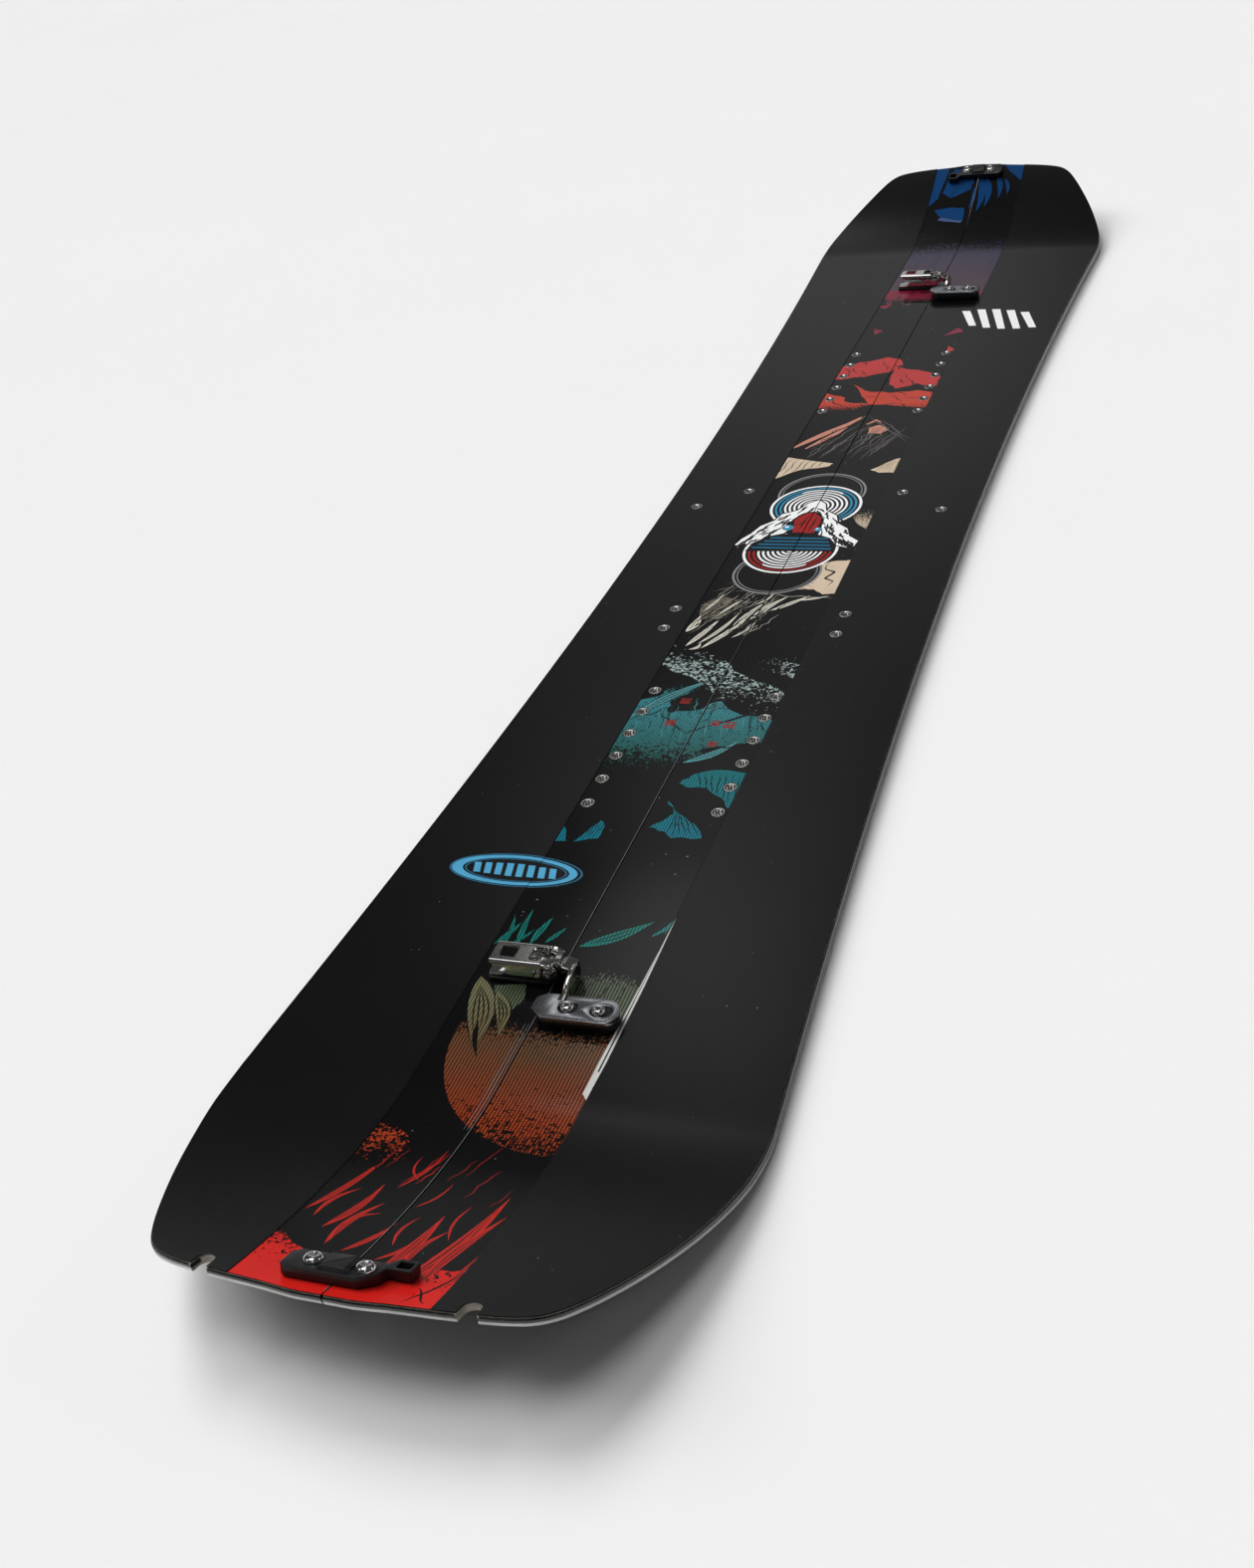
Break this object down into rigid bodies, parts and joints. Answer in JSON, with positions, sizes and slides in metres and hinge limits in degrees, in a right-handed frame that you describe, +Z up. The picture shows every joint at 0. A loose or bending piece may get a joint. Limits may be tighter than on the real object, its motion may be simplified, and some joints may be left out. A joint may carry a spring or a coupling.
{
  "type": "splitboard snowboard",
  "caption": "Splitboard: a snowboard of two lengthwise skis held together by over-centre latches and turning tip clips, with inserts for bindings.",
  "frame": {"origin": "on the floor under the middle of the board's length, on the seam", "axes": "+X along the board to the nose, +Y to the left ski, +Z up out of the deck"},
  "size_m": [1.587, 0.2952, 0.0561],
  "materials": {
    "topsheet": "satin black topsheet with a fine woven look and a glossy art stripe",
    "base": "sintered black base with a fine stone-ground structure",
    "laminate": "glass fibre laminate",
    "wood_core": "raw laminated wood",
    "sidewall": "black, sanded and polished",
    "steel_edge": "ground steel",
    "insert_steel": "stainless, turned",
    "polished_steel": "polished stainless steel",
    "satin_steel": "bead-blasted stainless steel",
    "screw_chrome": "bright chrome",
    "black_plastic": "moulded, slightly grained"
  },
  "bodies": {
    "skis": {"left_base_sheet": "base", "left_outer_edge": "steel_edge", "left_tail_edge": "steel_edge", "left_inner_edge": "steel_edge", "left_lower_laminate": "laminate", "left_outer_sidewall": "sidewall", "left_inner_sidewall": "sidewall", "left_wood_core": "wood_core", "left_upper_laminate": "laminate", "left_topsheet": "topsheet", "left_rear_insert_row": "insert_steel", "left_front_insert_row": "insert_steel", "left_touring_inserts_toe": "insert_steel", "left_touring_inserts_heel": "insert_steel", "right_base_sheet": "base", "right_outer_edge": "steel_edge", "right_tail_edge": "steel_edge", "right_inner_edge": "steel_edge", "right_lower_laminate": "laminate", "right_outer_sidewall": "sidewall", "right_inner_sidewall": "sidewall", "right_wood_core": "wood_core", "right_upper_laminate": "laminate", "right_topsheet": "topsheet", "right_rear_insert_row": "insert_steel", "right_front_insert_row": "insert_steel", "right_touring_inserts_toe": "insert_steel", "right_touring_inserts_heel": "insert_steel", "rear_latch_pad": "black_plastic", "rear_latch_base": "polished_steel", "rear_latch_pivot_nose_side": "polished_steel", "rear_latch_pivot_tail_side": "polished_steel", "rear_receiver_pad": "black_plastic", "rear_receiver_plate": "satin_steel", "rear_latch_screw_inner": "screw_chrome", "rear_latch_screw_outer": "screw_chrome", "rear_receiver_screw_inner": "screw_chrome", "rear_receiver_screw_outer": "screw_chrome", "front_latch_pad": "black_plastic", "front_latch_base": "polished_steel", "front_latch_pivot_nose_side": "polished_steel", "front_latch_pivot_tail_side": "polished_steel", "front_receiver_pad": "black_plastic", "front_receiver_plate": "satin_steel", "front_latch_screw_inner": "screw_chrome", "front_latch_screw_outer": "screw_chrome", "front_receiver_screw_inner": "screw_chrome", "front_receiver_screw_outer": "screw_chrome", "tail_clip_pivot_screw": "screw_chrome", "tail_clip_catch_screw": "screw_chrome", "nose_clip_pivot_screw": "screw_chrome", "nose_clip_catch_screw": "screw_chrome"},
    "rear_lever": {"rear_latch_lever": "polished_steel", "rear_latch_link_pin": "polished_steel"},
    "rear_hook": {"rear_latch_hook_link": "polished_steel"},
    "front_lever": {"front_latch_lever": "polished_steel", "front_latch_link_pin": "polished_steel"},
    "front_hook": {"front_latch_hook_link": "polished_steel"},
    "tail_clip": {"tail_clip_body": "black_plastic"},
    "nose_clip": {"nose_clip_body": "black_plastic"}
  },
  "joints": [
    {"name": "rear_lever_hinge", "type": "hinge", "parent": "skis", "child": "rear_lever", "pos_m": [-0.5395, 0.0015, 0.0172], "axis": [1, 0, 0], "range_deg": [0, 85]},
    {"name": "rear_hook_hinge", "type": "hinge", "parent": "rear_lever", "child": "rear_hook", "pos_m": [-0.5395, 0.00798, 0.01675], "axis": [1, 0, 0], "range_deg": [-94, 0]},
    {"name": "front_lever_hinge", "type": "hinge", "parent": "skis", "child": "front_lever", "pos_m": [0.53, 0.0015, 0.0172], "axis": [1, 0, 0], "range_deg": [0, 85]},
    {"name": "front_hook_hinge", "type": "hinge", "parent": "front_lever", "child": "front_hook", "pos_m": [0.53, 0.00798, 0.01675], "axis": [1, 0, 0], "range_deg": [-94, 0]},
    {"name": "tail_clip_turn", "type": "hinge", "parent": "skis", "child": "tail_clip", "pos_m": [-0.778, 0.0127, 0.04618], "axis": [-0.3879, 0, -0.9217], "range_deg": [0, 90]},
    {"name": "nose_clip_turn", "type": "hinge", "parent": "skis", "child": "nose_clip", "pos_m": [0.778, -0.0127, 0.04618], "axis": [0.3879, 0, -0.9217], "range_deg": [0, 90]}
  ],
  "couplings": [
    {"joint": "rear_hook_hinge", "follows": "rear_lever_hinge", "ratio": -1.1},
    {"joint": "front_hook_hinge", "follows": "front_lever_hinge", "ratio": -1.1}
  ]
}
